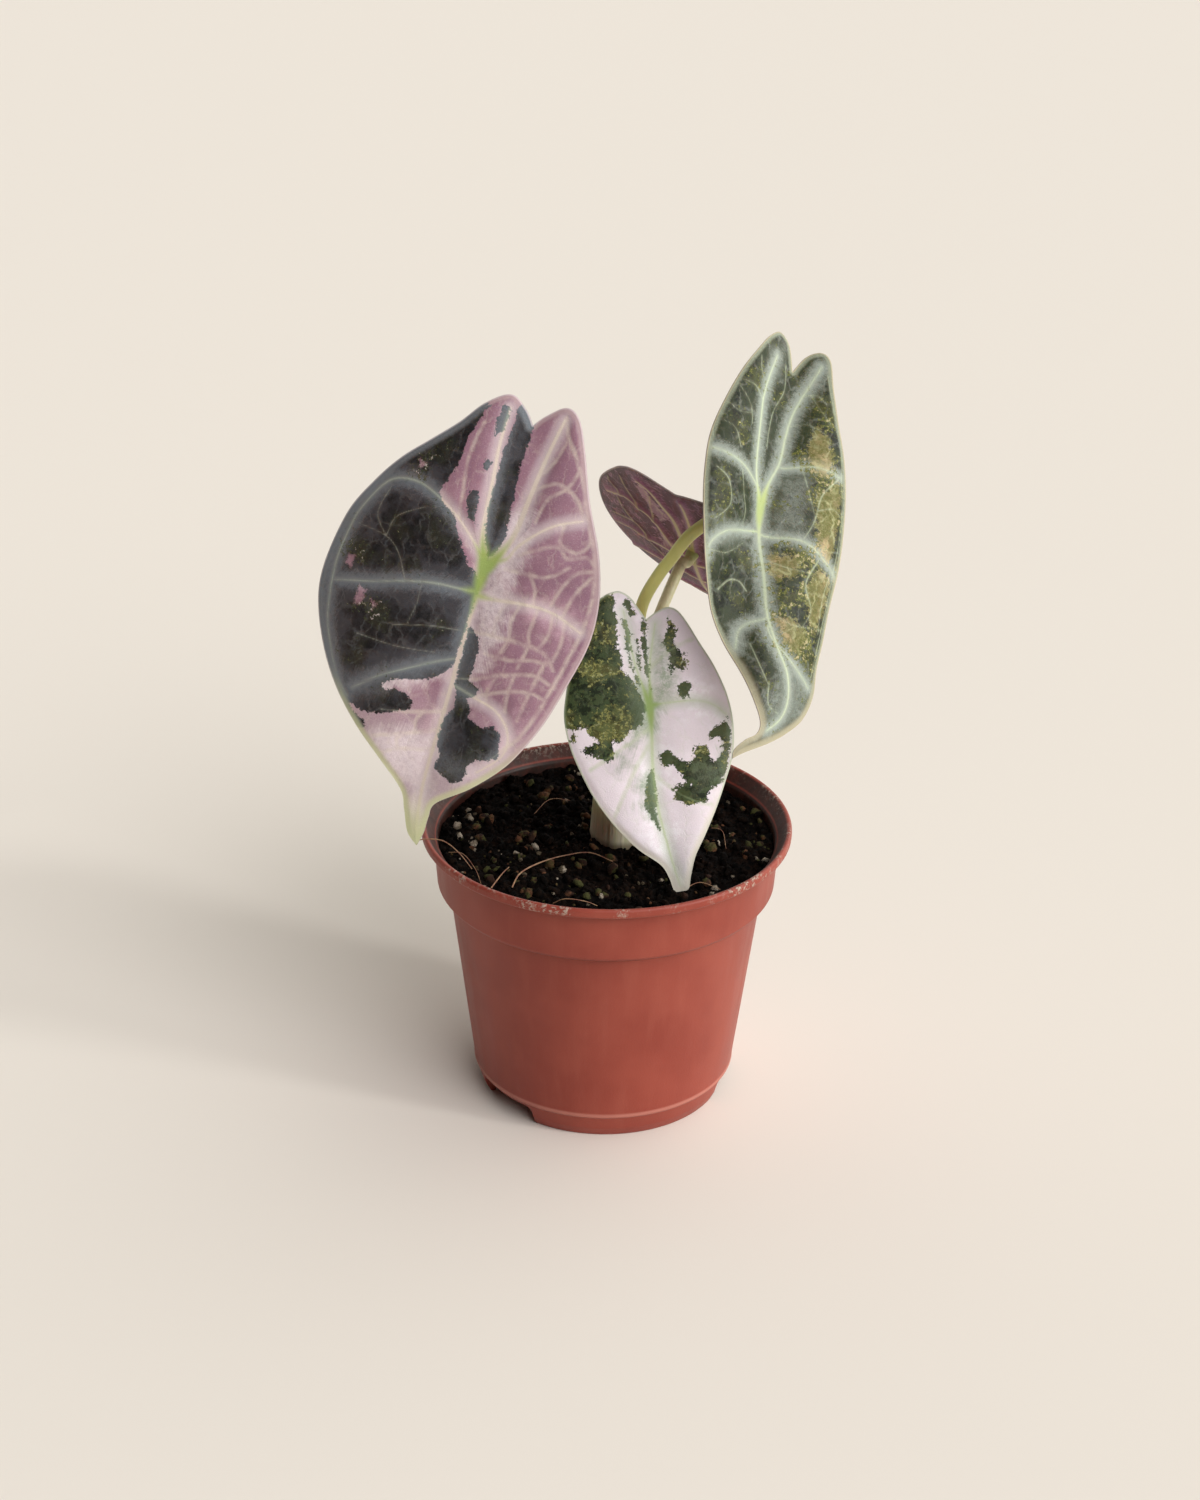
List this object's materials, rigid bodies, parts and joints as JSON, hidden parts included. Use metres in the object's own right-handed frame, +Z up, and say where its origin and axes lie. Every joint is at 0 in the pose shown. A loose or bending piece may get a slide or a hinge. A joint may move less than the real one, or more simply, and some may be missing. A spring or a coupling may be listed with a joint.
{
  "type": "potted alocasia watsoniana",
  "caption": "Small variegated aroid house plant with arrow-shaped leaves on arching stalks, rooted in peat in a round tapered nursery pot that stands on its notched foot.",
  "frame": {"origin": "under the middle of the whole plant's bounding box, on the surface that the pot stands on; the pot's axis is at x = 7.4 mm, y = -14.6 mm", "axes": "+Z up along the pot's axis, +Y away from the viewer of the picture, +X to the picture's right"},
  "size_m": [0.124, 0.1192, 0.1863],
  "materials": {
    "nursery_plastic": "terracotta-red moulded plastic, matte, with fine grain and a little mineral crust on the rim",
    "peat_mix": "black-brown peat with white and grey perlite grains and root fibres",
    "pale_stem": "pale greenish-cream fleshy stem, satin",
    "green_stalk": "smooth olive-green leaf stalk, satin",
    "blade_pink_and_grey": "satin leaf, mauve-pink and slate green in hard-edged patches with pale veins",
    "blade_white_and_green": "satin leaf, pinkish white with mottled dark green patches",
    "blade_dark_green": "satin leaf, dark green with silvery haloes along pale veins",
    "blade_purple_underside": "satin leaf, green above, purple-maroon below with raised olive and pink veins"
  },
  "bodies": {
    "root": {"pot": "nursery_plastic", "soil": "peat_mix", "stem": "pale_stem", "petiole_left": "green_stalk", "petiole_centre": "green_stalk", "petiole_right": "green_stalk", "petiole_back": "green_stalk", "leaf_left": "blade_pink_and_grey", "leaf_centre": "blade_white_and_green", "leaf_right": "blade_dark_green", "leaf_back": "blade_purple_underside"}
  },
  "joints": []
}
